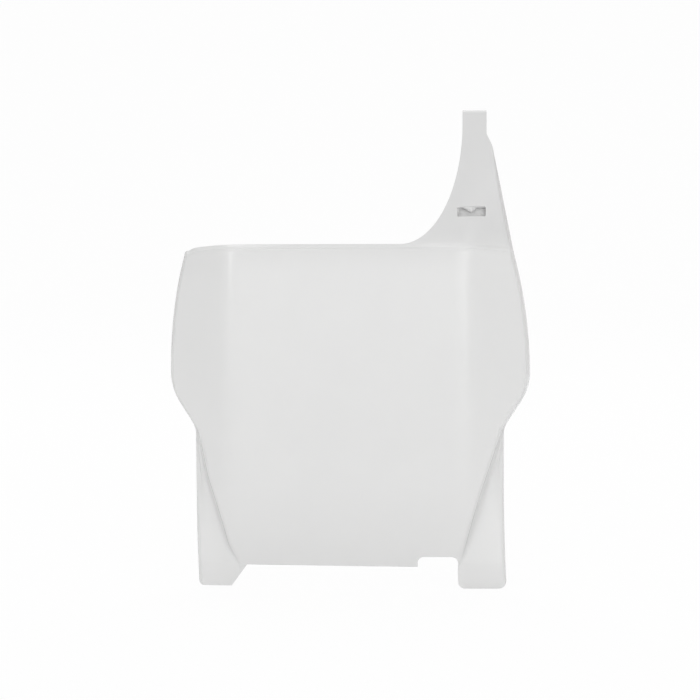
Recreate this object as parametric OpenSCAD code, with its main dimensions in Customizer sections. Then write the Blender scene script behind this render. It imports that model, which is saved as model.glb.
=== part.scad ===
// Front number board of an off-road motorbike, moulded in one piece from white plastic.
// A flat field carries the number. Its sides bend back into wings with a flange round the edge,
// two flat legs stand on the fork clamp, and one long arm folds over the handlebar brace as a strap.
// The frame has X to the rider's left as seen from the front, Z up, and the front facing -Y.
// The origin is the centre of the flat number field, on its front face.

/* [Wall] */
// Thickness of the moulded wall
wall = 2.4; // [1.8:0.1:3]

/* [Number field and wings] */
// Width of the flat number field between its two bends
field_w = 144; // [120:1:160]
// Height of the top edge above the centre of the field
top_h = 105.6; // [96:0.2:116]
// Depth of the bottom edge below the centre of the field
bottom_h = 120; // [110:1:126]
// Radius of the bend between field and wing
bend_r = 50; // [35:1:70]
// Angle by which each wing bends back
wing_a = 22; // [14:1:28]
// Height on the field below which the panel curves back
curve_start = 62; // [50:1:75]
// How far back the bottom edge of the panel lies
curve_back = 11.5; // [6:0.5:16]
// Height on the field above which the panel leans back a little
lean_start = 80; // [70:1:90]
// How far back the crease under the top edge lies
lean_back = 1.2; // [0.4:0.1:3]

/* [Outline] */
// Width of the panel over its shoulders
shoulder_w = 252; // [244:1:262]
// Height of the shoulders, the widest place
shoulder_z = 15; // [5:1:25]
// Radius of the shoulders below the widest place
shoulder_r = 36; // [20:1:44]
// Radius of the bowed sides above the shoulders
side_r = 360; // [300:5:600]
// How much more the right side draws in towards the top than the left
side_draw = 0.8; // [0:0.1:2]
// Radius to which the top edge drops towards its corners
top_r = 250; // [180:5:400]
// Width of the straight part of the top edge
top_flat_w = 140; // [100:1:180]
// Width of the panel at its bottom edge
bottom_w = 154; // [146:1:160]
// How much further down the bottom edge lies at its right end than at its middle
edge_slant = 0.8; // [0:0.1:1.5]

/* [Flange] */
// Radius of the rolled edge between wing and flange
edge_r = 4; // [3:0.25:5]
// Depth of the side flange behind the wing
flange_d = 9; // [7:0.5:12]
// Draft of the side flange
flange_draft = 10; // [4:1:18]
// Height of the band between the top crease and the top edge
band_h = 3.6; // [2.4:0.2:5]
// Angle at which the band leans back at the corners
band_a = 55; // [35:1:65]
// Angle at which the band leans back at the middle
band_mid_a = 20; // [10:1:30]

/* [Legs] */
// Width over the two legs
leg_span = 215.6; // [210:0.2:220]
// Depth of the face of the legs behind the field at their upper end
leg_back = 18; // [15:0.5:21]
// Height below the centre of the field at which the legs leave the flange
leg_top = 27; // [22:1:34]
// Width of the face of the legs at their upper end
leg_start_w = 1.6; // [1.2:0.2:4]
// Radius in the corner between flange and leg
foot_r = 3; // [2:0.25:4]
// Radius of the rolled outer edge of the legs
leg_edge_r = 3; // [2.6:0.2:4]
// Depth of the lip behind the rolled outer edge
lip_d = 2; // [1:0.25:4]
// Depth of the end of the left leg below the centre of the field
leg_h = 133.6; // [128:0.2:140]
// How much further down the right leg reaches
leg_step = 1.4; // [0:0.2:4]
// Width of the end of the left leg
left_leg_w = 25; // [18:1:30]
// Width of the right leg below the panel
right_leg_w = 32; // [24:1:36]
// Radius at the outer corner of the left leg
left_corner_r = 3; // [1:0.5:8]
// Radius at the corners of the right leg
right_corner_r = 5; // [1:0.5:8]
// Width of the hose notch beside the right leg
notch_w = 28; // [16:1:36]
// Height of the hose notch
notch_h = 6.4; // [4.5:0.2:9]
// Radius in the corners of the hose notch
notch_r = 4.4; // [2:0.2:4.4]

/* [Arm and strap] */
// Height of the top of the folded strap above the top edge
arm_h = 93; // [80:1:104]
// Distance of the root of the arm from the middle of the panel
arm_root = 36.5; // [30:0.5:50]
// Height over which the left edge of the arm sweeps up
arm_sweep_h = 82; // [60:1:88]
// Angle at which the arm leans back
arm_lean = 17; // [10:1:22]
// Angle at which the end of the arm leans back
tongue_lean = 20; // [12:1:24]
// Width of the strap
strap_w = 16.8; // [14:0.2:20]
// Distance from the middle of the panel to the middle of the strap
strap_x = 87.4; // [82:0.2:90]
// Height above the top edge at which the flange of the arm ends
knee_h = 68; // [55:1:72]
// Distance of the right edge of the arm from the middle of the panel at that height
knee_x = 99.8; // [97:0.2:103]
// Outer radius of the fold at the top of the strap
fold_r = 3.2; // [3:0.1:4.5]
// Angle by which the folded tail spreads away from the arm
tail_spread = 1.4; // [1:0.2:3]
// Length of the folded tail
tail_l = 76; // [70:1:84]
// Width of the end of the tail, which covers the slot from behind
tail_w = 22; // [19:0.5:24]

/* [Strap slot] */
// Width of the slot
slot_w = 20; // [17:0.2:23]
// Height of the slot
slot_h = 7.2; // [7:0.2:10]
// How far each wall of the slot draws in from front to back
slot_draft = 1.2; // [0.2:0.1:1.4]
// Distance from the middle of the panel to the middle of the slot
slot_x = 85.2; // [80:0.2:88]
// Height of the middle of the slot above the top edge
slot_z = 22; // [18:0.5:30]
// Width of the tooth that holds the strap
tooth_w = 7; // [4:0.2:9]
// Height of the tooth
tooth_h = 3.4; // [1.5:0.1:4]

/* [Hidden] */

// Counts of strips along each stretch of the surface
n_field = 2;
n_bend = 5;
n_wing = 3;
n_edge = 4;
n_foot = 2;
n_leg = 2;
n_curve = 8;
n_waist = 4;
n_shoulder = 3;
n_upper = 6;
n_lean = 3;
n_arm = 16;
n_fold = 7;
n_tail = 4;
n_round = 48;

field_half = field_w / 2;
bend_end = field_half + bend_r * sin(wing_a);
bend_depth = bend_r * (1 - cos(wing_a));
leg_half = leg_span / 2;
bottom_half = bottom_w / 2;
shoulder_half = shoulder_w / 2;
crease_z = top_h - band_h;
flange_a = 90 - flange_draft;
curve_drop = bottom_h - curve_start;
curve_r = (curve_drop * curve_drop + curve_back * curve_back) / (2 * curve_back);
lean_rise = crease_z - lean_start;
lean_r = (lean_rise * lean_rise + lean_back * lean_back) / (2 * lean_back);
crease_slope = lean_rise / (lean_r - lean_back);
arm_run = arm_h - fold_r;

// Slope of the line at the foot of the flange where it meets the bottom edge, against its mean slope
foot_curve = 0.55;
// Where the bend starts at the latest, as a share of the half width
bend_share = 0.86;
// Where the bend ends at the latest, as a share of the way from its start to the edge
bend_fit = 0.6;
// Share of the band over which it bends to its full lean
band_bend = 0.6;
// How far the band draws in at the right, as a share of its height
band_draw = 0.2;
// How fast the right edge of the arm draws in above the end of its flange
knee_taper = 0.5;
// How the flange fades along the arm, and the width of its strips once it is flat
fade_power = 0.8;
flat_step = 0.8;
// Height above the end of the flange over which the arm becomes flat
flat_run = 6;
// How the rows of the arm crowd towards its root
arm_crowd = 1.25;
// How far the tooth reaches into the wall, the width of its tip, and its size in front against the back
tooth_root = 1.2;
tooth_tip = 1.2;
tooth_front = 0.4;
// Distance from the left corner of the bottom edge to the gap between the legs
gap_start = 3;
// How far the cut of the slot runs past both faces, as a share of the wall
slot_over = 0.5;
// Material that the trims take off, and their reach past it
trim_spare = 2;
trim_reach = 12;
cut_depth = 80;
// Smallest share, step and thickness that still count
least = 0.05;
thin = 0.01;
right_leg_h = leg_h + leg_step;
leg_end = right_leg_h + trim_spare;

// Even steps from a up to, but not including, b
function steps(a, b, n) = [for (i = [0:n - 1]) a + (b - a) * i / n];
function clamp(v, lo, hi) = max(lo, min(hi, v));
function ease(v) = let(t = clamp(v, 0, 1)) t * t * (3 - 2 * t);
function mix(a, b, t) = a + (b - a) * t;

// Slope and depth of the front face across the panel: flat field, bend, straight wing
function wing_slope(x) = x <= field_half ? 0 : x >= bend_end ? wing_a : asin((x - field_half) / bend_r);
function wing_depth(x) =
    x <= field_half ? 0
    : x >= bend_end ? bend_depth + (x - bend_end) * tan(wing_a)
    : bend_r - sqrt(bend_r * bend_r - pow(x - field_half, 2));

// Depth of the front face up the panel: curved back at the bottom, leaning back at the top
function rise_depth(z) =
    z < -curve_start ? curve_r - sqrt(curve_r * curve_r - pow(min(-z, bottom_h) - curve_start, 2))
    : z > lean_start ? lean_r - sqrt(lean_r * lean_r - pow(min(z, crease_z) - lean_start, 2))
    : 0;

// Half width at the foot of the flange: bowed side, shoulder, slanted waist, line along the leg
shoulder_end_a = waist_a();
shoulder_end = [
    shoulder_half - shoulder_r * (1 - cos(shoulder_end_a)),
    shoulder_z - shoulder_r * sin(shoulder_end_a)
];
waist_slope = (shoulder_end[0] - leg_half) / (shoulder_end[1] + leg_top);
foot_rise = bottom_h - leg_top;
foot_spread = leg_half - leg_start_w - bottom_half;
foot_slope = foot_curve * foot_spread / foot_rise;
foot_bend = (foot_spread - foot_slope * foot_rise) / (foot_rise * foot_rise);

// Angle at which the line from the top of the leg touches the shoulder
function waist_a() =
    let(
        dx = shoulder_half - shoulder_r - leg_half,
        dz = shoulder_z + leg_top,
        reach = sqrt(dx * dx + dz * dz)
    )
    atan2(dx, dz) + asin(shoulder_r / reach);

function on_leg(z) = z < thin - leg_top;
function foot_x(z) =
    z >= shoulder_z ? shoulder_half - side_r + sqrt(side_r * side_r - pow(z - shoulder_z, 2))
    : z >= shoulder_end[1] ?
        shoulder_half - shoulder_r + sqrt(shoulder_r * shoulder_r - pow(shoulder_z - z, 2))
    : !on_leg(z) ? leg_half + (z + leg_top) * waist_slope
    : let(h = max(z, -bottom_h) + bottom_h) bottom_half + foot_slope * h + foot_bend * h * h;

// Depth of the face of the legs, from their upper end down to flush with the bottom edge
function leg_depth(z) = mix(curve_back, leg_back, clamp((z + bottom_h) / foot_rise, 0, 1));

// Drop of the top edge towards its corners
function top_drop(x) = let(d = max(0, abs(x) - top_flat_w / 2)) top_r - sqrt(top_r * top_r - d * d);

// How the wall turns back at the edge of the wing: the slope and depth at which the turn starts,
// the angle it turns to, the length of the straight flange and the radius at its foot
lip_out = lip_d * cos(flange_a);
function foot_share(z) =
    on_leg(z) ? clamp((leg_half - foot_x(z) - lip_out) / (foot_r + leg_edge_r + leg_start_w), least, 1) : 0;
function turn_at(z, edge) =
    let(
        slope = wing_slope(edge),
        start = wing_depth(edge) + rise_depth(z),
        fr = foot_r * foot_share(z),
        drop = on_leg(z) ? max(leg_depth(z) - start, fr * (1 - cos(slope)) + least) : flange_d + lip_d,
        turn = min(flange_a, acos(clamp((edge_r * cos(slope) + fr - drop) / (edge_r + fr), -1, 1))),
        rolled = edge_r * (cos(slope) - cos(turn)) + fr * (1 - cos(turn))
    )
    [slope, start, turn, max(0, (drop - rolled) / sin(turn)), fr];
function turn_reach(t) = edge_r * (sin(t[2]) - sin(t[0])) + t[3] * cos(t[2]);
function edge_x(z) = foot_x(z) - turn_reach(turn_at(z, foot_x(z) - edge_r));

// Half of one level section, as points of distance from the middle and depth.
// The inner part runs over the field and the wing, then come rolled edge, flange, leg and lip.
function inner_x(z) =
    let(
        edge = edge_x(z),
        bend_from = min(field_half, bend_share * edge),
        bend_to = min(bend_end, mix(bend_from, edge, bend_fit))
    )
    concat(
        steps(0, arm_root, n_field),
        steps(arm_root, bend_from, n_field),
        steps(bend_from, bend_to, n_bend),
        steps(bend_to, edge, n_wing),
        [edge]
    );

function outer_strip(z) =
    let(
        edge = edge_x(z),
        t = turn_at(z, edge),
        roll = [
            for (i = [1:n_edge - 1]) let(a = mix(t[0], t[2], i / (n_edge - 1)))
                [edge + edge_r * (sin(a) - sin(t[0])), t[1] + edge_r * (cos(t[0]) - cos(a))]
        ],
        foot = roll[n_edge - 2] + t[3] * [cos(t[2]), sin(t[2])]
    )
    concat(roll, [foot], on_leg(z) ? leg_strip(foot, t[2], t[4], leg_edge_r * foot_share(z)) : []);

function leg_strip(foot, turn, fr, lr) =
    let(
        inside = foot + fr * [sin(turn), 1 - cos(turn)],
        outside = [leg_half - lr * sin(flange_a) - lip_out, inside[1]],
        end = outside + lr * [sin(flange_a), 1 - cos(flange_a)]
    )
    concat(
        [for (i = [1:n_foot]) let(a = turn * (1 - i / n_foot))
            foot + fr * [sin(turn) - sin(a), cos(a) - cos(turn)]],
        [for (i = [1:n_leg]) mix(inside, outside, i / n_leg)],
        [for (i = [1:n_edge - 1]) let(a = flange_a * i / (n_edge - 1))
            outside + lr * [sin(a), 1 - cos(a)]],
        [end + lip_d * [cos(flange_a), sin(flange_a)]]
    );

function half_section(z) =
    concat([for (x = inner_x(z)) [x, wing_depth(x) + rise_depth(z)]], outer_strip(z));

n_inner = 2 * n_field + n_bend + n_wing;
n_side = n_inner + n_edge;
n_half = n_side + n_foot + n_leg + n_edge;
mid = n_half;
n_cols = 2 * n_half;

levels = concat(
    [-leg_end],
    steps(-bottom_h, -curve_start, n_curve),
    steps(-curve_start, -leg_top, n_waist),
    steps(-leg_top, shoulder_end[1], n_waist),
    steps(shoulder_end[1], shoulder_z, n_shoulder),
    steps(shoulder_z, lean_start, n_upper),
    steps(lean_start, crease_z, n_lean),
    [crease_z]
);
row_leg = 1 + n_curve + n_waist;
row_crease = len(levels) - 1;
row_edge = row_crease + n_edge;
row_fold = row_edge + n_arm;
row_tail = row_fold + n_fold;
n_rows = row_tail + n_tail;
arm_col = mid + n_field;
last_col = mid + n_side;

// Rows of the panel, whose levels bend down with the top edge as they near it
function panel_row(z) =
    let(
        half = half_section(z),
        up = clamp((z - shoulder_z) / (crease_z - shoulder_z), 0, 1),
        end = len(half) - 1
    )
    [for (c = [0:n_cols]) let(
            p = half[min(abs(c - mid), end)],
            drop = top_drop(min(p[0], half[n_inner][0])) * up * up
        )
        [c < mid ? -p[0] : p[0] - draw_in(p[0]) * up, p[1], z - drop]];
function draw_in(x) = side_draw * max(0, x - field_half) / (shoulder_half - field_half);

// The band between crease and top edge, as height and depth for each of its rows
function band_lean(x) = mix(band_mid_a, band_a, ease((abs(x) - arm_root) / (field_half - arm_root)));
function band_step(x, i) =
    let(h = band_h * i / n_edge, h1 = band_bend * band_h, m = tan(band_lean(x)), m0 = crease_slope)
    h < h1 ? m0 * h + (m - m0) * h * h / (2 * h1) : (m0 + m) * h1 / 2 + m * (h - h1);

// The rounded top left corner: flange and band meet in rings about the corner of the crease
function corner_point(row, a, b) =
    let(
        ring = max(a, b),
        turn = b <= a ? 45 * b / a : 90 - 45 * a / b,
        hub = row[mid - n_inner],
        rim = row[mid - n_inner - ring],
        out = hub[0] - rim[0],
        up = band_h * ring / n_edge,
        reach = mix(out, up, pow(sin(turn), 2)),
        back = mix(rim[1] - hub[1], band_step(hub[0], ring), pow(sin(turn), 2))
    )
    [hub[0] - reach * cos(turn), hub[1] + back, hub[2] + reach * sin(turn)];

function band_row(row, b) =
    [for (c = [0:n_cols]) let(a = mid - n_inner - c, p = row[c])
        a > 0 ? corner_point(row, clamp(a, 0, n_edge), b)
        : let(rise = band_h * b / n_edge, draw = c > mid + n_inner ? band_draw * rise : 0)
            [p[0] - draw, p[1] + band_step(min(abs(p[0]), field_half), b), p[2] + rise]];

// Edges and depth of the arm at height t above the top edge
function arm_left(t) =
    let(left = strap_x - strap_w / 2, h = clamp(1 - t / arm_sweep_h, 0, 1))
    arm_root + (left - arm_root) * sqrt(1 - h * h);
function arm_right(t, base) =
    t < knee_h ? mix(base, knee_x, t / knee_h)
    : max(strap_x + strap_w / 2, knee_x - (t - knee_h) * knee_taper);
function face_depth(x) = wing_depth(x) + rise_depth(crease_z) + band_step(min(x, field_half), n_edge);
function arm_back(t) = t * tan(arm_lean) + max(0, t - knee_h) * (tan(tongue_lean) - tan(arm_lean));

function arm_row(base, t) =
    let(
        fade = pow(clamp(1 - t / knee_h, 0, 1), fade_power),
        hub = base[mid + n_inner],
        strip = [for (k = [1:n_edge]) let(p = base[mid + n_inner + k])
            [mix(flat_step * k, p[0] - hub[0], fade), (p[1] - hub[1]) * fade]],
        edge = arm_right(t, base[last_col][0]) - strip[n_edge - 1][0],
        left = arm_left(t),
        flatten = ease(t / (knee_h + flat_run)),
        height = t / arm_run,
        top = top_h + arm_run
    )
    [for (c = [0:n_cols]) let(
            p = base[min(c, mid + n_inner)],
            u = (p[0] - arm_root) / (hub[0] - arm_root),
            x = left + u * (edge - left),
            k = clamp(c - mid - n_inner, 0, n_edge),
            more = k > 0 ? strip[k - 1] : [0, 0],
            y = mix(face_depth(x), face_depth(strap_x), flatten) + arm_back(t)
        )
        c < arm_col ? [0, 0, 0] : [x + more[0], y + more[1], mix(base[min(c, last_col)][2], top, height)]];

// The strap folds back about a bar that lies across the arm, and its tail hangs behind
function fold_point(p, a) = [
    p[0],
    p[1] + fold_r * ((1 - cos(a)) * cos(tongue_lean) + sin(a) * sin(tongue_lean)),
    p[2] + fold_r * (sin(a) * cos(tongue_lean) - (1 - cos(a)) * sin(tongue_lean))
];
fold_a = 180 - tail_spread;
tail_lean = tongue_lean - tail_spread;
knee_drop = arm_run - knee_h;
// Shares of the tail's length at which it starts to widen and has its full width
tail_even = .25;
tail_full = .75;
function tail_point(p, d) =
    let(
        bent = max(0, d - knee_drop),
        lower = arm_lean - tail_spread,
        wide = ease((d / tail_l - tail_even) / (tail_full - tail_even))
    )
    [
        mix(p[0], slot_x + (p[0] - strap_x) * tail_w / strap_w, wide),
        p[1] - (d - bent) * sin(tail_lean) - bent * sin(lower),
        p[2] - (d - bent) * cos(tail_lean) - bent * cos(lower)
    ];

panel_rows = [for (z = levels) panel_row(z)];
crease_row = panel_rows[row_crease];
edge_rows = [for (b = [1:n_edge]) band_row(crease_row, b)];
edge_row = edge_rows[n_edge - 1];
arm_rows = [for (i = [1:n_arm]) arm_row(edge_row, arm_run * pow(i / n_arm, arm_crowd))];
tip_row = arm_rows[n_arm - 1];
fold_rows = [for (i = [1:n_fold]) [for (p = tip_row) fold_point(p, fold_a * i / n_fold)]];
tail_rows = [for (i = [1:n_tail]) [for (p = fold_rows[n_fold - 1]) tail_point(p, tail_l * i / n_tail)]];
front = concat(panel_rows, edge_rows, arm_rows, fold_rows, tail_rows);

// Whether the surface has a cell between columns c and c + 1 and rows r and r + 1
function has_cell(c, r) =
    c < 0 || r < 0 || c >= n_cols || r >= n_rows ? false
    : r <= row_leg ? true
    : r < row_edge ? c >= mid - n_side && c < mid + n_side
    : c >= arm_col && c < last_col;
function has_point(c, r) =
    has_cell(c, r) || has_cell(c - 1, r) || has_cell(c, r - 1) || has_cell(c - 1, r - 1);

// Above the legs the columns of the leg meet in the foot of the flange
function column(c, r) = r > row_leg ? clamp(c, mid - n_side, mid + n_side) : c;

// The back face lies one wall behind the front face, square to it
function toward(c, r, dc, dr) =
    let(
        plus = has_point(c + dc, r + dr) ? front[r + dr][c + dc] : front[r][c],
        minus = has_point(c - dc, r - dr) ? front[r - dr][c - dc] : front[r][c]
    )
    plus - minus;
function unit(v) = v / max(norm(v), 1e-9);
function back_point(c, r) =
    let(n = unit(cross(unit(toward(c, r, 1, 0)), unit(toward(c, r, 0, 1)))))
    front[r][c] - wall * n;

function at(c, r, side) = (side * (n_rows + 1) + r) * (n_cols + 1) + column(c, r);
function quad(a, b, c, d, lean) = lean ? [[a, b, c], [a, c, d]] : [[a, b, d], [b, c, d]];
function edge_wall(c1, r1, c2, r2) =
    [[at(c2, r2, 0), at(c1, r1, 0), at(c1, r1, 1)], [at(c2, r2, 0), at(c1, r1, 1), at(c2, r2, 1)]];
function cell_faces(c, r) =
    let(lean = c < mid)
    concat(
        quad(at(c, r, 0), at(c, r + 1, 0), at(c + 1, r + 1, 0), at(c + 1, r, 0), lean),
        quad(at(c, r, 1), at(c + 1, r, 1), at(c + 1, r + 1, 1), at(c, r + 1, 1), !lean),
        has_cell(c - 1, r) ? [] : edge_wall(c, r, c, r + 1),
        has_cell(c + 1, r) ? [] : edge_wall(c + 1, r + 1, c + 1, r),
        has_cell(c, r + 1) ? [] : edge_wall(c, r + 1, c + 1, r + 1),
        has_cell(c, r - 1) ? [] : edge_wall(c + 1, r, c, r)
    );

// The moulded wall before its ends and openings are trimmed
module shell() {
    points = concat(
        [for (r = [0:n_rows], c = [0:n_cols]) front[r][c]],
        [for (r = [0:n_rows], c = [0:n_cols]) has_point(c, r) ? back_point(c, r) : front[r][c]]
    );
    faces = [
        for (r = [0:n_rows - 1], c = [0:n_cols - 1])
            if (has_cell(c, r))
                for (f = cell_faces(c, r))
                    if (f[0] != f[1] && f[1] != f[2] && f[2] != f[0]) f
    ];
    polyhedron(points, faces, convexity = 8);
}

// A flat outline drawn in X and Z, carried right through the board
module through() {
    rotate([90, 0, 0])
        linear_extrude(height = cut_depth, center = true)
            children();
}

// What is left outside a rounded corner at x, z, where side and end point away from the material
module corner(x, z, r, side) {
    translate([x, z])
        difference() {
            translate([side > 0 ? -r : -trim_spare, -trim_spare])
                square([r + trim_spare, r + trim_spare]);
            translate([-side * r, r])
                circle(r, $fn = n_round);
        }
}

// The trim along the bottom: gap between the legs, hose notch and ends of the legs
module bottom_trim() {
    right_in = leg_half - right_leg_w;
    left_in = left_leg_w - leg_half;
    notch_in = right_in - notch_w;
    notch_top = notch_h - edge_slant - bottom_h;
    through() {
        polygon([
            [gap_start - bottom_half, edge_slant - bottom_h],
            [right_in, -edge_slant - bottom_h],
            [right_in, -bottom_h - cut_depth],
            [left_in, -bottom_h - cut_depth],
            [left_in, -leg_h]
        ]);
        translate([notch_in, -bottom_h - trim_spare])
            square([notch_w, notch_top + bottom_h + trim_spare - notch_r]);
        translate([notch_in + notch_r, -bottom_h - trim_spare])
            square([notch_w - 2 * notch_r, notch_top + bottom_h + trim_spare]);
        for (x = [notch_in + notch_r, right_in - notch_r])
            translate([x, notch_top - notch_r])
                circle(notch_r, $fn = n_round);
        translate([-leg_half - trim_reach, -leg_h - cut_depth])
            square([leg_half + trim_reach, cut_depth]);
        translate([0, -right_leg_h - cut_depth])
            square([leg_half + trim_reach, cut_depth]);
        corner(-leg_half, -leg_h, left_corner_r, -1);
        corner(leg_half, -right_leg_h, right_corner_r, 1);
        corner(right_in, -right_leg_h, right_corner_r, -1);
    }
}

// Places what follows square to the front face of the arm at the middle of the slot
module on_slot() {
    translate([slot_x, face_depth(slot_x) + arm_back(slot_z), top_h + slot_z])
        rotate([90 - arm_lean, 0, 0])
            children();
}

// The slot for the end of the strap, whose walls draw in towards the back
module strap_slot() {
    front = [slot_w, slot_h] + 2 * slot_over * slot_draft * [1, 1];
    back = [slot_w, slot_h] - 2 * (1 + slot_over) * slot_draft * [1, 1];
    widen = [front[0] / back[0], front[1] / back[1]];
    on_slot()
        translate([0, 0, -(1 + slot_over) * wall])
            linear_extrude(height = (1 + 2 * slot_over) * wall, scale = widen)
                square(back, center = true);
}

// The tooth that holds the strap, wider and longer towards the back like the walls of the slot
module tooth() {
    on_slot()
        translate([0, slot_h / 2 + tooth_root])
            hull() {
                tooth_face(tooth_front);
                translate([0, 0, -wall])
                    tooth_face(1);
            }
}

module tooth_face(share) {
    root = share * tooth_w / 2;
    tip = tooth_tip / 2;
    depth = tooth_root + share * tooth_h;
    linear_extrude(height = thin)
        polygon([[-root, 0], [root, 0], [tip, -depth], [-tip, -depth]]);
}

module number_board() {
    color("white") {
        difference() {
            shell();
            bottom_trim();
            strap_slot();
        }
        tooth();
    }
}

number_board();
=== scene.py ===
"""Front number board of an off-road motorbike, as a fine moulded wall with its finish and its studio.

The board is one moulding. A sheet is laid out row by row from the sizes below, in the same frame as
the CAD: X to the right of the photograph, Z up, and the front facing -Y. A node tree then gives it its
wall, cuts the gap between the legs, the hose notch and the strap slot, and adds the tooth of the slot.
"""

import math

import bmesh
import bpy
from mathutils import Matrix, Vector


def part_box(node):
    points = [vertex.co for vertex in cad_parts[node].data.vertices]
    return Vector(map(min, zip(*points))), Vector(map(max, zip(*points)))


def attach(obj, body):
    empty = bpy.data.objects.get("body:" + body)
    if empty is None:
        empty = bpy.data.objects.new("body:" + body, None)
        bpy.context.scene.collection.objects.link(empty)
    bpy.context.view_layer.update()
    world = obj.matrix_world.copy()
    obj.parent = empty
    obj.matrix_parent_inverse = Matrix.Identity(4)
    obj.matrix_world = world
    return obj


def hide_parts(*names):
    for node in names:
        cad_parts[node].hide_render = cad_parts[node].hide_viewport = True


bl_info = {
    "name": "Front number board",
    "version": (1, 0, 0),
    "blender": (4, 5, 0),
    "location": "3D View > Sidebar > Number board",
    "description": "Makes a moulded front number board with its plastic and its studio",
    "category": "Object",
}

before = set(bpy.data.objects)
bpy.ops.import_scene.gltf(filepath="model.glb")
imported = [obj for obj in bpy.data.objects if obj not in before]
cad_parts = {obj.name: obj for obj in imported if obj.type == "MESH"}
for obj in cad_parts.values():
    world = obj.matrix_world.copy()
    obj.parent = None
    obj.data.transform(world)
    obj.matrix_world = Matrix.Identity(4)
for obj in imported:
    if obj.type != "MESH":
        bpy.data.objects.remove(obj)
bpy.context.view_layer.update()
CAD_LOW, CAD_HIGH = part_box("number_board")

MM = 0.001

# Metres within which points are one: of the sheet, of its rim once it has a back, and along a cut
SAME_POINT = 1e-6
SAME_RIM = 4e-6
SAME_CUT = 2e-5

# Degrees above which an edge counts as cut, and above which the shading has a crease
CUT_ANGLE = 42
CREASE_ANGLE = 38

# Millimetres below the lean's start at which a leg has its full lean, and the most of it that is kept
LEAN_RUN = 65.0
LEAN_MOST = 1.2

# Soft panels of the room: name, azimuth to the right, elevation, sharpness, strength
PANELS = (
    ("Panel front left", -30, 22, 20, 1.70),
    ("Panel front right", 30, 22, 20, 1.30),
    ("Panel front", -10, 22, 20, 0.40),
    ("Panel right", 50, 0, 20, 0.70),
    ("Panel above", 0, 85, 6, 1.70),
    ("Panel above right", 40, 70, 6, 0.60),
)

# Upright strips of light: azimuth to the right and power in watts
STRIPS = ((-28, 4.6), (11, 0.8), (16, 1.2), (22, 4.4), (28, 1.2))
STRIP_PLACE = (2.4, 0.05)
STRIP_SIZE = (0.12, 2.0)

# Soft boxes, in metres and watts: name, place, width and height, power
BOXES = (
    ("light_right", (2.3, 0.9, 0.45), (0.9, 2.0), 5.0),
    ("light_left", (-2.3, 0.9, 0.45), (0.9, 2.0), 3.5),
    ("light_back", (0.0, 1.2, 2.0), (1.6, 1.2), 10.5),
    ("light_low", (0.0, -2.2, 0.10), (1.6, 0.4), 3.0),
)
LIGHT_AIM = (0.0, 0.0, 0.03)

# Sweep behind the board, in metres: half width and depth of its floor, depth and radius of its bend, height
SWEEP_REACH = 6.0
SWEEP_BEND = 3.0
SWEEP_RADIUS = 1.5
SWEEP_HEIGHT = 6.0

# Share of the white paper that looks lit from behind to the camera
PAPER_GLOW = 0.94
SENSOR = 36.0


def length(name, text, default):
    """A size in metres that a user can change."""
    return bpy.props.FloatProperty(name=name, description=text, default=default, unit="LENGTH", precision=5)


def angle(name, text, degrees):
    """An angle that a user can change."""
    return bpy.props.FloatProperty(
        name=name, description=text, default=math.radians(degrees), unit="ROTATION", subtype="ANGLE"
    )


def share(name, text, default):
    """A plain share between 0 and 1."""
    return bpy.props.FloatProperty(
        name=name, description=text, default=default, min=0.0, max=1.0, subtype="FACTOR"
    )


def colour(name, text, default):
    """A linear colour."""
    return bpy.props.FloatVectorProperty(
        name=name, description=text, default=default, size=3, min=0.0, max=1.0, subtype="COLOR"
    )


class BoardSizes(bpy.types.PropertyGroup):
    """Sizes of the moulding."""

    wall: length("Wall", "Thickness of the moulded wall", 0.0024)
    rim_round: length("Rim rounding", "Rounding of the cut edges of the wall", 0.00045)
    field_w: length("Field width", "Width of the flat number field", 0.144)
    top_h: length("Top edge", "Height of the top edge above the centre of the field", 0.1056)
    bottom_h: length("Bottom edge", "Depth of the bottom edge below the centre of the field", 0.120)
    bend_r: length("Bend radius", "Radius of the bend between field and wing", 0.050)
    wing_a: angle("Wing angle", "Angle by which each wing bends back", 22.0)
    curve_start: length("Curve start", "Height below the centre at which the panel curves back", 0.062)
    curve_back: length("Curve depth", "How far back the bottom edge lies", 0.0115)
    lean_start: length("Lean start", "Height above the centre at which the panel leans back", 0.080)
    lean_back: length("Lean depth", "How far back the crease under the top edge lies", 0.0012)
    shoulder_w: length("Shoulder width", "Width over the shoulders", 0.252)
    shoulder_z: length("Shoulder height", "Height of the widest place", 0.015)
    shoulder_r: length("Shoulder radius", "Radius of the shoulders", 0.036)
    side_r: length("Side radius", "Radius of the bowed sides", 0.360)
    side_draw: length("Side draw", "How much more the right side draws in towards the top", 0.0008)
    top_r: length("Top radius", "Radius to which the top edge drops", 0.250)
    top_flat_w: length("Top flat", "Width of the straight part of the top edge", 0.140)
    bottom_w: length("Bottom width", "Width of the panel at its bottom edge", 0.154)
    edge_slant: length("Edge slant", "How much further down the bottom edge lies at its right end", 0.0008)
    edge_r: length("Rolled edge", "Radius between wing and flange", 0.004)
    flange_d: length("Flange depth", "Depth of the side flange behind the wing", 0.009)
    flange_draft: angle("Flange draft", "Draft of the side flange", 10.0)
    band_h: length("Band height", "Height of the band between crease and top edge", 0.0036)
    band_a: angle("Band lean", "Angle at which the band leans back at the corners", 55.0)
    band_mid_a: angle("Band lean, middle", "Angle at which the band leans back at the middle", 20.0)
    band_share: share("Band bend", "Share of the band over which it bends", 0.6)
    band_draw: share("Band draw", "How far the band draws in at the right", 0.2)
    groove_d: length("Crease groove", "Depth of the fine groove along the crease", 0.0003)
    groove_w: length("Groove width", "Half width of that groove", 0.0005)
    corner_drop: length("Corner drop", "How far the top edge drops at its left corner", 0.0014)
    corner_run: length("Corner run", "Length over which it drops there", 0.006)


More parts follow.
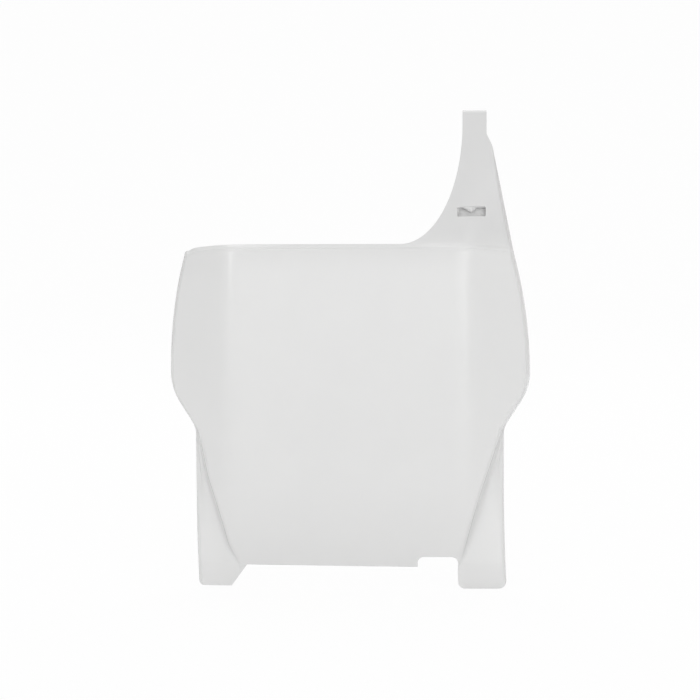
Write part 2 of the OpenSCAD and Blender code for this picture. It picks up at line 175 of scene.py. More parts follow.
class LegSizes(bpy.types.PropertyGroup):
    """Sizes of the two legs and of what is cut between them."""

    span: length("Leg span", "Width over the two legs", 0.2156)
    back: length("Leg depth", "Depth of the face of the legs at their upper end", 0.018)
    top: length("Leg top", "Height below the centre at which the legs leave the flange", 0.027)
    blend: length("Leg blend", "Height over which the waist turns into the legs", 0.008)
    start_w: length("Leg start", "Width of the face of the legs at their upper end", 0.0016)
    foot_r: length("Foot radius", "Radius in the corner between flange and leg", 0.004)
    edge_r: length("Leg edge", "Radius of the rolled outer edge of the legs", 0.003)
    lip_d: length("Lip depth", "Depth of the lip behind the rolled edge", 0.002)
    foot_curve: share("Foot curve", "Slope of the foot line at the bottom edge", 0.85)
    foot_bow: length("Foot bow", "How far the foot line bows out on the left leg", 0.0030)
    bow_low: length("Bow, low end", "Height over which the bow grows from the bottom edge", 0.016)
    bow_high: length("Bow, high end", "Height above the bottom edge at which the bow fades", 0.060)
    crown: length("Leg crown", "How far the face of a leg curves back towards its outer edge", 0.0016)
    lean: length("Leg lean", "How far the outer edges of the legs stand to the right at their ends", 0.0015)
    lean_top: length("Lean top", "Height below the centre at which that lean starts", 0.060)
    left_h: length("Left leg", "Depth of the end of the left leg", 0.1336)
    step: length("Leg step", "How much further down the right leg reaches", 0.0014)
    left_w: length("Left leg width", "Width of the end of the left leg", 0.0253)
    right_w: length("Right leg width", "Width of the right leg below the panel", 0.032)
    left_r: length("Left corner", "Radius at the outer corner of the left leg", 0.0042)
    right_r: length("Right corners", "Radius at the corners of the right leg", 0.005)
    gap_start: length("Gap start", "Distance from the left bottom corner to the gap", 0.0054)
    gap_up: length("Gap top", "How far the gap cuts into the bottom edge", 0.0005)
    notch_w: length("Notch width", "Width of the hose notch", 0.028)
    notch_h: length("Notch height", "Height of the hose notch", 0.0078)
    notch_r: length("Notch radius", "Radius in the corners of the hose notch", 0.0044)


class StrapSizes(bpy.types.PropertyGroup):
    """Sizes of the arm, its folded strap and the slot that takes the strap."""

    arm_h: length("Arm height", "Height of the fold above the top edge", 0.093)
    arm_root: length("Arm root", "Distance of the root of the arm from the middle", 0.0365)
    sweep_h: length("Arm sweep", "Height over which the left edge sweeps up", 0.082)
    arm_lean: angle("Arm lean", "Angle at which the arm leans back", 17.0)
    tongue_lean: angle("Tongue lean", "Angle at which the end of the arm leans back", 20.0)
    strap_w: length("Strap width", "Width of the strap", 0.0168)
    strap_x: length("Strap place", "Distance of the strap from the middle", 0.0874)
    knee_h: length("Knee height", "Height at which the flange of the arm ends", 0.068)
    knee_x: length("Knee place", "Distance of the right edge from the middle there", 0.0998)
    knee_taper: share("Knee taper", "How fast the right edge draws in above the knee", 0.5)
    fade: share("Flange fade", "How the flange fades along the arm", 0.8)
    flat_run: length("Flat run", "Height above the knee over which the arm gets flat", 0.006)
    root_r: length("Root fillet", "Length over which the band turns into the arm", 0.0006)
    fold_r: length("Fold radius", "Outer radius of the fold", 0.0032)
    tail_spread: angle("Tail spread", "Angle by which the tail spreads from the arm", 1.4)
    tail_l: length("Tail length", "Length of the folded tail", 0.076)
    tail_w: length("Tail width", "Width of the end of the tail, behind the slot", 0.022)
    tail_even: share("Tail, even part", "Share of the tail that keeps the width of the strap", 0.25)
    tail_full: share("Tail, full width", "Share of the tail at which it has its full width", 0.75)
    tail_near: length("Tail, nearing", "How far the end of the tail comes towards the slot", 0.0012)
    slot_w: length("Slot width", "Width of the strap slot", 0.020)
    slot_h: length("Slot height", "Height of the strap slot", 0.0072)
    slot_draft: length("Slot draft", "How far each wall of the slot draws in", 0.0003)
    slot_r: length("Slot corner", "Radius in the corners of the slot", 0.0009)
    slot_x: length("Slot place", "Distance of the slot from the middle", 0.0852)
    slot_z: length("Slot level", "Height of the slot above the top edge", 0.022)
    tooth_left: length("Tooth, left", "How far the tooth reaches to the left of its tip", 0.0070)
    tooth_right: length("Tooth, right", "How far the tooth reaches to the right of its tip", 0.0042)
    tooth_h: length("Tooth height", "Height of the tooth", 0.0038)


class PlasticLook(bpy.types.PropertyGroup):
    """Finish of the white plastic."""

    tint: colour("Plastic", "Colour of the plastic", (0.80, 0.80, 0.795))
    shade: colour("Plastic, deeper", "Colour in the faint clouds of the plastic", (0.775, 0.775, 0.772))
    # Painted shade: the arm, which leans back from the light, gets a darker colour than the rest of the
    # plastic
    arm_painted_shade: colour("Painted shade on the arm", "Darker colour given to the arm as painted shade", (0.722, 0.722, 0.72))
    arm_shade_from: length("Painted shade, from", "Height at which the colour starts to turn into that of the arm", 0.098)
    arm_shade_to: length("Painted shade, to", "Height at which it has turned", 0.116)
    roughness: share("Roughness", "Roughness of the polished faces", 0.20)
    cloud_size: length("Cloud size", "Size of the faint clouds in the colour", 0.040)
    ripple_size: length("Ripple size", "Size of the waves that shrinkage leaves", 0.045)
    ripple_depth: length("Ripple depth", "Depth of those waves", 0.00002)
    grain_size: length("Grain size", "Size of the fine grain of the mould", 0.0006)
    grain_depth: length("Grain depth", "Depth of the fine grain", 0.000004)


class StudioLook(bpy.types.PropertyGroup):
    """Camera, lights and floor."""

    distance: length("Camera distance", "Distance of the camera", 1.6)
    azimuth: angle("Camera azimuth", "How far to the right the camera stands", 3.0)
    elevation: angle("Camera elevation", "How high the camera stands", 4.36)
    roll: angle("Camera roll", "How far the camera leans", -0.236)
    frame_w: length("Frame width", "Width that the picture covers at the board", 0.4821)
    centre_x: length("Centre X", "Middle of the picture, across", 0.0017)
    centre_z: length("Centre Z", "Middle of the picture, up", 0.0327)
    floor_gap: length("Floor gap", "Distance from the legs down to the floor", 0.0005)
    world_light: bpy.props.FloatProperty(
        name="Room light", description="Strength of the even light of the room", default=0.16, min=0.0
    )
    floor_tint: colour("Floor", "Colour of the floor", (0.92, 0.92, 0.92))


def sizes(group):
    """The sizes of a group in millimetres, and its angles in degrees, as plain values."""
    plain = {}
    for key, kind in group.bl_rna.properties.items():
        if kind.type != "FLOAT" or kind.is_array:
            continue
        value = getattr(group, key)
        if kind.unit == "LENGTH":
            value = value / MM
        elif kind.unit == "ROTATION":
            value = math.degrees(value)
        plain[key] = value
    return plain


def sin(a):
    return math.sin(math.radians(a))


def cos(a):
    return math.cos(math.radians(a))


def tan(a):
    return math.tan(math.radians(a))


def clamp(v, low, high):
    return max(low, min(high, v))


def mix(a, b, t):
    """Value that lies a share of the way between two values."""
    return a + (b - a) * t


def mix_points(p, q, t):
    return tuple(mix(a, b, t) for a, b in zip(p, q))


def ease(v):
    """Share that starts and ends its rise gently."""
    t = clamp(v, 0.0, 1.0)
    return t * t * (3.0 - 2.0 * t)


def steps(a, b, n):
    """Even steps from one value towards another, which is left out."""
    return [a + (b - a) * i / n for i in range(n)]


def leg_lean(legs, z):
    """How far the outer edges of the legs stand to the right at a level."""
    return legs["lean"] * clamp((-z - legs["lean_top"]) / LEAN_RUN, 0, LEAN_MOST) ** 2


def as_mesh(made, name):
    """Turns a bmesh into a mesh and frees it."""
    mesh = bpy.data.meshes.new(name)
    made.to_mesh(mesh)
    made.free()
    return mesh


def add_object(name, data):
    """Puts an object with that data into the scene."""
    thing = bpy.data.objects.new(name, data)
    bpy.context.scene.collection.objects.link(thing)
    return thing


class BoardSheet:
    """The front face of the moulding as a grid of points, row by row from the legs to the strap's tail."""

    # Faces across each part of half a row
    n_field = 5
    n_bend = 16
    n_wing = 8
    n_roll = 12
    n_flange = 5
    n_foot = 6
    n_leg = 8
    n_leg_roll = 8
    # Rows up each part of the board, over the fold and down the tail
    n_curve = 34
    n_waist = 16
    n_blend = 6
    n_shoulder = 12
    n_upper = 26
    n_lean = 10
    n_band = 18
    n_arm = 72
    n_fold = 24
    n_tail = 26
    # Where a section gets narrow, the bend starts at this share of it and takes this share of what is left
    narrow_from = 0.86
    narrow_part = 0.6
    # Least drop from the roll to the foot, and least share of the foot's and the leg's radii
    least_drop = 0.05
    least_share = 0.05
    # How far the sheet runs past the ends of the legs, where it is cut
    past_legs = 2
    # Width of the rolled strip beside the arm once the flange has faded
    arm_strip = 3.2
    # Above 1, the rows of the arm lie closer near its root
    arm_spacing = 1.6

    def __init__(self, board, legs, strap):
        self.b = board
        self.l = legs
        self.s = strap
        b, l = board, legs
        self.field_half = b["field_w"] / 2
        self.bend_end = self.field_half + b["bend_r"] * sin(b["wing_a"])
        self.bend_depth = b["bend_r"] * (1 - cos(b["wing_a"]))
        self.leg_half = l["span"] / 2
        self.bottom_half = b["bottom_w"] / 2
        self.shoulder_half = b["shoulder_w"] / 2
        self.crease_z = b["top_h"] - b["band_h"]
        self.flange_a = 90 - b["flange_draft"]
        drop = b["bottom_h"] - b["curve_start"]
        self.curve_r = (drop ** 2 + b["curve_back"] ** 2) / (2 * b["curve_back"])
        rise = self.crease_z - b["lean_start"]
        self.lean_r = (rise ** 2 + b["lean_back"] ** 2) / (2 * b["lean_back"])
        self.crease_slope = rise / math.sqrt(self.lean_r ** 2 - rise ** 2)
        self.lip_out = l["lip_d"] * cos(self.flange_a)
        self.foot_rise = b["bottom_h"] - l["top"]
        spread = self.leg_half - l["start_w"] - self.bottom_half
        self.foot_slope = l["foot_curve"] * spread / self.foot_rise
        self.foot_bend = (spread - self.foot_slope * self.foot_rise) / self.foot_rise ** 2
        self.low = -l["top"]
        self.high = self.low + l["blend"]
        self.corner_z = (self.low + self.high) / 2
        self.leg_slope = (l["back"] - b["curve_back"]) / self.foot_rise
        dx = self.shoulder_half - b["shoulder_r"] - self.leg_half
        dz = b["shoulder_z"] - self.corner_z
        turn = math.degrees(math.atan2(dx, dz) + math.asin(b["shoulder_r"] / math.hypot(dx, dz)))
        self.shoulder_end = (
            self.shoulder_half - b["shoulder_r"] * (1 - cos(turn)),
            b["shoulder_z"] - b["shoulder_r"] * sin(turn),
        )
        self.waist_slope = (self.shoulder_end[0] - self.leg_half) / (self.shoulder_end[1] - self.corner_z)
        self.n_inner = 2 * self.n_field + self.n_bend + self.n_wing
        self.n_edge = self.n_roll + self.n_flange
        self.n_side = self.n_inner + self.n_edge
        self.n_half = self.n_side + self.n_foot + self.n_leg + self.n_leg_roll + 1
        self.mid = self.n_half
        self.arm_col = self.mid + self.n_field
        self.last_col = self.mid + self.n_side
        self.ring = [0.75 * k / self.n_roll for k in range(self.n_roll + 1)]
        self.ring += [0.75 + 0.25 * k / self.n_flange for k in range(1, self.n_flange + 1)]
        self.arm_run = strap["arm_h"] - strap["fold_r"]

    def wing_slope(self, x):
        """Angle at which the face has turned back at a distance from the middle."""
        if x <= self.field_half:
            return 0.0
        if x >= self.bend_end:
            return self.b["wing_a"]
        return math.degrees(math.asin((x - self.field_half) / self.b["bend_r"]))

    def wing_depth(self, x):
        """How far the bend and the wing lie behind the field."""
        if x <= self.field_half:
            return 0.0
        if x >= self.bend_end:
            return self.bend_depth + (x - self.bend_end) * tan(self.b["wing_a"])
        return self.b["bend_r"] - math.sqrt(self.b["bend_r"] ** 2 - (x - self.field_half) ** 2)

    def rise_depth(self, z):
        """How far the face lies back at a level: curved at the bottom, leaning at the top."""
        b = self.b
        if z < -b["bottom_h"]:
            return b["curve_back"] + (z + b["bottom_h"]) * self.leg_slope
        if z < -b["curve_start"]:
            return self.curve_r - math.sqrt(self.curve_r ** 2 - (-z - b["curve_start"]) ** 2)
        if z > b["lean_start"]:
            rise = min(z, self.crease_z) - b["lean_start"]
            return self.lean_r - math.sqrt(self.lean_r ** 2 - rise ** 2)
        return 0.0

    def outline_x(self, z):
        """The outline: bowed side, shoulder, waist and leg in one smooth line."""
        b = self.b
        if z >= self.shoulder_end[1]:
            r = b["side_r"] if z >= b["shoulder_z"] else b["shoulder_r"]
            return self.shoulder_half - r + math.sqrt(r ** 2 - (z - b["shoulder_z"]) ** 2)
        if z >= self.high:
            return self.leg_half + (z - self.corner_z) * self.waist_slope
        return self.leg_half + self.waist_slope * max(0.0, z - self.low) ** 2 / (2 * self.l["blend"])

    def leg_x(self, z, left):
        """The outer edge of a leg, which leans a little to the right at its end."""
        lean = leg_lean(self.l, z)
        return self.outline_x(z) + (-lean if left else lean)

    def foot_x(self, z, leg, left):
        """Where the flange ends, or where it stands on the leg."""
        if not leg:
            return self.outline_x(z)
        l, rise = self.l, self.foot_rise
        h = clamp(z + self.b["bottom_h"], 0, rise)
        x = self.bottom_half + self.foot_slope * h + self.foot_bend * h * h
        if left:
            fade = 1 - ease((h - l["bow_high"]) / (rise - l["bow_high"]))
            x += l["foot_bow"] * ease((h - 1) / l["bow_low"]) * fade
        return x + self.outline_x(z) - self.leg_half

    def leg_depth(self, z):
        """How far the face of a leg lies back at a level."""
        return self.b["curve_back"] + min(z + self.b["bottom_h"], self.foot_rise) * self.leg_slope

    def top_drop(self, x):
        """How far the top edge has dropped at a distance from the middle."""
        d = max(0.0, abs(x) - self.b["top_flat_w"] / 2)
        return self.b["top_r"] - math.sqrt(self.b["top_r"] ** 2 - d * d)

    def foot_share(self, z, leg, left):
        """Share of its full radii that a narrow leg has room for."""
        if not leg:
            return 0.0
        l = self.l
        room = self.leg_x(z, left) - self.foot_x(z, leg, left) - self.lip_out
        return clamp(room / (l["foot_r"] + l["edge_r"] + l["start_w"]), self.least_share, 1)

    def turn_at(self, z, edge, leg, left):
        """Slope and depth where the turn starts, the angle it turns to, the flange and the foot radius."""
        b = self.b
        slope = self.wing_slope(edge)
        start = self.wing_depth(edge) + self.rise_depth(z)
        foot_r = self.l["foot_r"] * self.foot_share(z, leg, left)
        if leg:
            drop = max(self.leg_depth(z) - start, foot_r * (1 - cos(slope)) + self.least_drop)
        else:
            drop = b["flange_d"] + self.l["lip_d"]
        lowest = clamp((b["edge_r"] * cos(slope) + foot_r - drop) / (b["edge_r"] + foot_r), -1, 1)
        turn = min(self.flange_a, math.degrees(math.acos(lowest)))
        rolled = b["edge_r"] * (cos(slope) - cos(turn)) + foot_r * (1 - cos(turn))
        return slope, start, turn, max(0.0, (drop - rolled) / sin(turn)), foot_r

    def edge_x(self, z, leg, left):
        """Where the face ends and the roll into the flange starts."""
        foot = self.foot_x(z, leg, left)
        slope, _, turn, flange, _ = self.turn_at(z, foot - self.b["edge_r"], leg, left)
        return foot - self.b["edge_r"] * (sin(turn) - sin(slope)) - flange * cos(turn)

    def half_section(self, z, leg, left):
        """Half of one level section, from the middle outwards, as distance and depth."""
        r = self.b["edge_r"]
        edge = self.edge_x(z, leg, left)
        bend_from = min(self.field_half, self.narrow_from * edge)
        bend_to = min(self.bend_end, mix(bend_from, edge, self.narrow_part))
        inner = steps(0, self.s["arm_root"], self.n_field)
        inner += steps(self.s["arm_root"], bend_from, self.n_field)
        inner += steps(bend_from, bend_to, self.n_bend)
        inner += steps(bend_to, edge, self.n_wing) + [edge]
        half = [(x, self.wing_depth(x) + self.rise_depth(z)) for x in inner]
        slope, start, turn, flange, foot_r = self.turn_at(z, edge, leg, left)
        for i in range(1, self.n_roll + 1):
            a = mix(slope, turn, i / self.n_roll)
            half.append((edge + r * (sin(a) - sin(slope)), start + r * (cos(slope) - cos(a))))
        rolled = half[-1]
        for i in range(1, self.n_flange + 1):
            d = flange * i / self.n_flange
            half.append((rolled[0] + d * cos(turn), rolled[1] + d * sin(turn)))
        if leg:
            part = self.foot_share(z, leg, left)
            half += self.leg_strip(half[-1], turn, foot_r, part, self.leg_x(z, left))
        else:
            half += [half[-1]] * (self.n_half - self.n_side)
        return half

    def leg_strip(self, foot, turn, foot_r, part, outer):
        """The leg beyond the flange: corner, crowned face, rolled edge and lip."""
        fa = self.flange_a
        leg_r = self.l["edge_r"] * part
        crown = self.l["crown"] * part
        strip = []
        for i in range(1, self.n_foot + 1):
            a = turn * (1 - i / self.n_foot)
            strip.append((foot[0] + foot_r * (sin(turn) - sin(a)), foot[1] + foot_r * (cos(a) - cos(turn))))
        inside = strip[-1]
        reach = outer - leg_r * sin(fa) - self.lip_out
        for i in range(1, self.n_leg + 1):
            u = i / self.n_leg
            strip.append((mix(inside[0], reach, u), inside[1] + crown * u * u))
        outside = strip[-1]
        first = math.degrees(math.atan2(2 * crown, reach - inside[0]))
        for i in range(1, self.n_leg_roll + 1):
            a = mix(first, fa, i / self.n_leg_roll)
            x = outside[0] + leg_r * (sin(a) - sin(first)) * sin(fa) / (sin(fa) - sin(first))
            strip.append((x, outside[1] + leg_r * (cos(first) - cos(a))))
        end = strip[-1]
        strip.append((end[0] + self.l["lip_d"] * cos(fa), end[1] + self.l["lip_d"] * sin(fa)))
        return strip

    def section_at(self, z, left):
        """The section at a level; at the waist it turns from the leg's section into the flange's."""
        if z <= self.low:
            return self.half_section(z, True, left)
        if z >= self.high:
            return self.half_section(z, False, left)
        t = ease((z - self.low) / (self.high - self.low))
        with_leg = self.half_section(z, True, left)
        return [mix_points(p, q, t) for p, q in zip(with_leg, self.half_section(z, False, left))]

    def panel_row(self, z):
        """One row of the panel, from the left leg or edge to the right one."""
        b = self.b
        halves = {True: self.section_at(z, True), False: self.section_at(z, False)}
        up = clamp((z - b["shoulder_z"]) / (self.crease_z - b["shoulder_z"]), 0, 1)
        row = []
        for c in range(2 * self.n_half + 1):
            half = halves[c < self.mid]
            x, y = half[abs(c - self.mid)]
            face_x = min(x, half[self.n_inner][0])
            height = z - self.top_drop(face_x) * up * up
            if c < self.mid:
                near = clamp((face_x - half[self.n_inner][0]) / b["corner_run"] + 1, 0, 1)
                height -= b["corner_drop"] * near * near * up ** 6
            row.append((-x if c < self.mid else x - self.draw_in(x) * up, y, height))
        return row

    def draw_in(self, x):
        """How far the right side draws in at the top edge."""
        return self.b["side_draw"] * max(0.0, x - self.field_half) / (self.shoulder_half - self.field_half)

    def band_lean(self, x):
        """Angle at which the band leans back at a distance from the middle."""
        b, root = self.b, self.s["arm_root"]
        return mix(b["band_mid_a"], b["band_a"], ease((abs(x) - root) / (self.field_half - root)))

    def band_step(self, x, part):
        """Depth that the band has gained at a share of its height."""
        b = self.b
        h = b["band_h"] * part
        groove = b["groove_d"] * (1 - clamp(h / b["groove_w"] - 1, -1, 1) ** 2) ** 2
        bend = b["band_share"] * b["band_h"]
        low = self.crease_slope
        high = tan(self.band_lean(x))
        if h < bend:
            return low * h + (high - low) * h * h / (2 * bend) + groove
        return (low + high) * bend / 2 + high * (h - bend) + groove

    def corner_point(self, row, a, share_b):
        """The rounded top left corner: flange and band meet in rings about the corner of the crease."""
        share_a = self.ring[a]
        part = max(share_a, share_b)
        turn = 45 * share_b / share_a if share_b <= share_a else 90 - 45 * share_a / share_b
        hub = row[self.mid - self.n_inner]
        rim = self.on_ring(row, part)
        blend = sin(turn) ** 2
        reach = mix(hub[0] - rim[0], self.b["band_h"] * part, blend)
        back = mix(rim[1] - hub[1], self.band_step(hub[0], part), blend)
        return (hub[0] - reach * cos(turn), hub[1] + back, hub[2] + reach * sin(turn))

    def on_ring(self, row, part):
        """The point of the crease's row at a share of the way round the left edge."""
        k = 0
        while k < self.n_edge - 1 and self.ring[k + 1] < part:
            k += 1
        t = (part - self.ring[k]) / (self.ring[k + 1] - self.ring[k])
        first = self.mid - self.n_inner
        return mix_points(row[first - k], row[first - k - 1], clamp(t, 0, 1))

    def band_row(self, row, part):
        """One row of the band above the crease, which turns into rings at the left corner."""
        rise = self.b["band_h"] * part
        out = []
        for c, p in enumerate(row):
            a = self.mid - self.n_inner - c
            if a > 0:
                out.append(self.corner_point(row, min(a, self.n_edge), part))
                continue
            way = self.ring[clamp(c - self.mid - self.n_inner, 0, self.n_edge)]
            draw = self.b["band_draw"] * rise * way
            x = min(abs(p[0]), self.field_half)
            out.append((p[0] - draw, p[1] + self.band_step(x, part), p[2] + rise))
        return out

    def arm_left(self, t):
        """Left edge of the arm, which sweeps up from the top edge to the strap."""
        left = self.s["strap_x"] - self.s["strap_w"] / 2
        h = clamp(1 - t / self.s["sweep_h"], 0, 1)
        return self.s["arm_root"] + (left - self.s["arm_root"]) * math.sqrt(1 - h * h)

    def arm_right(self, t, base):
        """Right edge of the arm, with its knee where the flange ends."""
        s = self.s
        if t < s["knee_h"]:
            return mix(base, s["knee_x"], t / s["knee_h"])
        return max(s["strap_x"] + s["strap_w"] / 2, s["knee_x"] - (t - s["knee_h"]) * s["knee_taper"])

    def face_depth(self, x):
        """Depth of the face at the top edge, which the arm goes on from."""
        band = self.band_step(min(x, self.field_half), 1.0)
        return self.wing_depth(x) + self.rise_depth(self.crease_z) + band

    def arm_back(self, t):
        """How far the arm leans back at a height above the top edge."""
        lower, upper = tan(self.s["arm_lean"]), tan(self.s["tongue_lean"])
        return t * lower + max(0.0, t - self.s["knee_h"]) * (upper - lower)

    def root_fillet(self, x, t):
        """Extra depth where the band's lean fades into the lean of the arm."""
        r = self.s["root_r"]
        steep = tan(self.band_lean(x)) - tan(self.s["arm_lean"])
        return steep * r * (1 - math.exp(-t / r))

    def arm_row(self, base, t):
        """One row of the arm: the face of the board narrows into the flat strap."""
        s = self.s
        hub_col = self.mid + self.n_inner
        hub = base[hub_col]
        fade = clamp(1 - t / s["knee_h"], 0, 1) ** s["fade"]
        strip = [(0.0, 0.0)]
        for k in range(1, self.n_edge + 1):
            p = base[hub_col + k]
            strip.append((mix(self.arm_strip * self.ring[k], p[0] - hub[0], fade), (p[1] - hub[1]) * fade))
        edge = self.arm_right(t, base[self.last_col][0]) - strip[-1][0]
        left = self.arm_left(t)
        flat = ease(t / (s["knee_h"] + s["flat_run"]))
        top = self.b["top_h"] + self.arm_run
        row = []
        for c in range(2 * self.n_half + 1):
            if c < self.arm_col:
                row.append(None)
                continue
            p = base[min(c, hub_col)]
            u = (p[0] - s["arm_root"]) / (hub[0] - s["arm_root"])
            x = left + u * (edge - left)
            more = strip[clamp(c - hub_col, 0, self.n_edge)]
            y = mix(self.face_depth(x), self.face_depth(s["strap_x"]), flat) + self.arm_back(t)
            y += mix(self.root_fillet(x, t), self.root_fillet(s["strap_x"], t), flat)
            z = mix(base[min(c, self.last_col)][2], top, t / self.arm_run)
            row.append((x + more[0], y + more[1], z))
        return row

    def fold_point(self, p, a):
        """A point of the strap's end, turned by an angle over the fold."""
        r, lean = self.s["fold_r"], self.s["tongue_lean"]
        return (
            p[0],
            p[1] + r * ((1 - cos(a)) * cos(lean) + sin(a) * sin(lean)),
            p[2] + r * (sin(a) * cos(lean) - (1 - cos(a)) * sin(lean)),
        )

    def tail_point(self, p, d):
        """A point of the tail, at a length from the fold down the back of the arm."""
        s = self.s
        bent = max(0.0, d - (self.arm_run - s["knee_h"]))
        upper = s["tongue_lean"] - s["tail_spread"]
        lower = s["arm_lean"] - s["tail_spread"]
        wide = ease((d / s["tail_l"] - s["tail_even"]) / (s["tail_full"] - s["tail_even"]))
        x = mix(p[0], s["slot_x"] + (p[0] - s["strap_x"]) * s["tail_w"] / s["strap_w"], wide)
        flat = ease((self.arm_run - d) / (s["knee_h"] + s["flat_run"]))
        turned = (self.face_depth(x) - self.face_depth(s["strap_x"])) * (1 - flat)
        return (
            x,
            p[1] - (d - bent) * sin(upper) - bent * sin(lower) + turned - s["tail_near"] * wide,
            p[2] - (d - bent) * cos(upper) - bent * cos(lower),
        )

    def rows(self):
        """All rows of the sheet, with the numbers of the rows where its parts meet."""
        b, l, s = self.b, self.l, self.s
        levels = [-l["left_h"] - l["step"] - self.past_legs]
        levels += steps(-b["bottom_h"], -b["curve_start"], self.n_curve)
        levels += steps(-b["curve_start"], -l["top"], self.n_waist)
        levels += steps(self.low, self.high, self.n_blend)
        self.row_blend = len(levels)
        levels += steps(self.high, self.shoulder_end[1], self.n_waist)
        levels += steps(self.shoulder_end[1], b["shoulder_z"], self.n_shoulder)
        levels += steps(b["shoulder_z"], b["lean_start"], self.n_upper)
        levels += steps(b["lean_start"], self.crease_z, self.n_lean) + [self.crease_z]
        rows = [self.panel_row(z) for z in levels]
        crease = rows[-1]
        rows += [self.band_row(crease, i / self.n_band) for i in range(1, self.n_band + 1)]
        edge = rows[-1]
        self.row_edge = len(rows) - 1
        for i in range(1, self.n_arm + 1):
            rows.append(self.arm_row(edge, self.arm_run * (i / self.n_arm) ** self.arm_spacing))
        rows += self.swept(rows[-1], self.fold_point, 180 - s["tail_spread"], self.n_fold)
        return rows + self.swept(rows[-1], self.tail_point, s["tail_l"], self.n_tail)

    def swept(self, row, rule, end, n):
        """Rows that a rule makes from one row, in even steps of an amount up to its end."""
        return [[p and rule(p, end * i / n) for p in row] for i in range(1, n + 1)]

    def has_cell(self, c, r):
        """Whether the sheet has a face between this column and row and the next."""
        if r < self.row_blend:
            return True
        if r < self.row_edge:
            return self.mid - self.n_side <= c < self.mid + self.n_side
        return self.arm_col <= c < self.last_col

    def mesh(self, name):
        """The sheet as an open mesh whose faces look to the front."""
        rows = self.rows()
        made = bmesh.new()
        verts = {}

        def vert(c, r):
            if (c, r) not in verts:
                verts[c, r] = made.verts.new(Vector(rows[r][c]) * MM)
            return verts[c, r]

        for r in range(len(rows) - 1):
            for c in range(2 * self.n_half):
                if self.has_cell(c, r):
                    made.faces.new((vert(c, r), vert(c + 1, r), vert(c + 1, r + 1), vert(c, r + 1)))
        bmesh.ops.remove_doubles(made, verts=made.verts, dist=SAME_POINT)
        bmesh.ops.dissolve_degenerate(made, edges=made.edges, dist=SAME_POINT / 10)
        return as_mesh(made, name)


class Tree:
    """Small helper that adds nodes to a node tree."""

    def __init__(self, tree):
        self.tree = tree

    def add(self, kind, label="", inputs=(), **values):
        """Adds a node; each input takes a value, or a link where an output is given."""
        node = self.tree.nodes.new(kind)
        node.label = label
        for key, value in values.items():
            setattr(node, key, value)
        for key, value in dict(inputs).items():
            self.feed(node.inputs[key], value)
        return node

    def feed(self, socket, value):
        """Sets a socket, or links it where the value is an output."""
        if isinstance(value, bpy.types.NodeSocket):
            self.tree.links.new(value, socket)
        else:
            socket.default_value = value

    def math(self, operation, a, b):
        """Output of a node that works out one operation."""
        return self.add("ShaderNodeMath", "", {0: a, 1: b}, operation=operation).outputs[0]


def blank_tree(block):
    """Empties the node tree of a material or a world."""
    block.use_nodes = True
    block.node_tree.nodes.clear()
    return Tree(block.node_tree)


def seen_by_camera(t, light, shown, part):
    """A shader that gives one light to the room, while the camera sees that part of another."""
    seen = t.add("ShaderNodeLightPath").outputs["Is Camera Ray"]
    inputs = {"Fac": t.math("MULTIPLY", seen, part), 1: light, 2: shown}
    return t.add("ShaderNodeMixShader", "", inputs).outputs["Shader"]


def moulded_wall_tree():
    """Node tree: an open sheet gets its wall, its openings, its tooth, smooth faces and its plastic."""
    tree = bpy.data.node_groups.new("Moulded wall", "GeometryNodeTree")
    face = tree.interface
    face.new_socket("Sheet", in_out="INPUT", socket_type="NodeSocketGeometry")
    for name, kind in (
        ("Wall", "NodeSocketFloat"),
        ("Openings", "NodeSocketObject"),
        ("Tooth", "NodeSocketObject"),
        ("Plastic", "NodeSocketMaterial"),
    ):
        face.new_socket(name, in_out="INPUT", socket_type=kind)
    face.new_socket("Board", in_out="OUTPUT", socket_type="NodeSocketGeometry")
    t = Tree(tree)
    start = t.add("NodeGroupInput").outputs

    depth = t.math("MULTIPLY", start["Wall"], -1.0)
    inputs = {"Mesh": start["Sheet"], "Offset Scale": depth, "Individual": False}
    back = t.add("GeometryNodeExtrudeMesh", "Back face one wall behind", inputs, mode="FACES")
    turned = t.add("GeometryNodeFlipFaces", "Back face looks back", {"Mesh": back.outputs["Mesh"]})
    both = t.add("GeometryNodeJoinGeometry", "Front and back")
    for part in (start["Sheet"], turned.outputs["Mesh"]):
        t.feed(both.inputs[0], part)
    inputs = {"Geometry": both.outputs[0], "Distance": SAME_RIM}
    closed = t.add("GeometryNodeMergeByDistance", "Close the rim", inputs)

    cutter = t.add("GeometryNodeObjectInfo", "Openings", {"Object": start["Openings"]})
    inputs = {"Mesh 1": closed.outputs["Geometry"], "Mesh 2": cutter.outputs["Geometry"]}
    solver = {"solver": "MANIFOLD"}
    cut = t.add("GeometryNodeMeshBoolean", "Cut the openings", inputs, operation="DIFFERENCE", **solver)
    tooth = t.add("GeometryNodeObjectInfo", "Tooth", {"Object": start["Tooth"]})
    fused = t.add("GeometryNodeMeshBoolean", "Add the tooth", operation="UNION", **solver)
    for part in (cut.outputs["Mesh"], tooth.outputs["Geometry"]):
        t.feed(fused.inputs["Mesh 2"], part)

    smooth = t.add("GeometryNodeSetShadeSmooth", "Smooth faces", {"Geometry": fused.outputs["Mesh"]})
    whole = t.add("GeometryNodeRealizeInstances", "", {"Geometry": smooth.outputs["Geometry"]})
    inputs = {"Geometry": whole.outputs["Geometry"], "Material": start["Plastic"]}
    paint = t.add("GeometryNodeSetMaterial", "White plastic", inputs)
    t.add("NodeGroupOutput", "", {"Board": paint.outputs["Geometry"]})
    return tree


def arc(cx, cz, r, first, last, n=10):
    """Points along an arc, angles in degrees."""
    turns = [mix(first, last, i / n) for i in range(n + 1)]
    return [(cx + r * cos(a), cz + r * sin(a)) for a in turns]


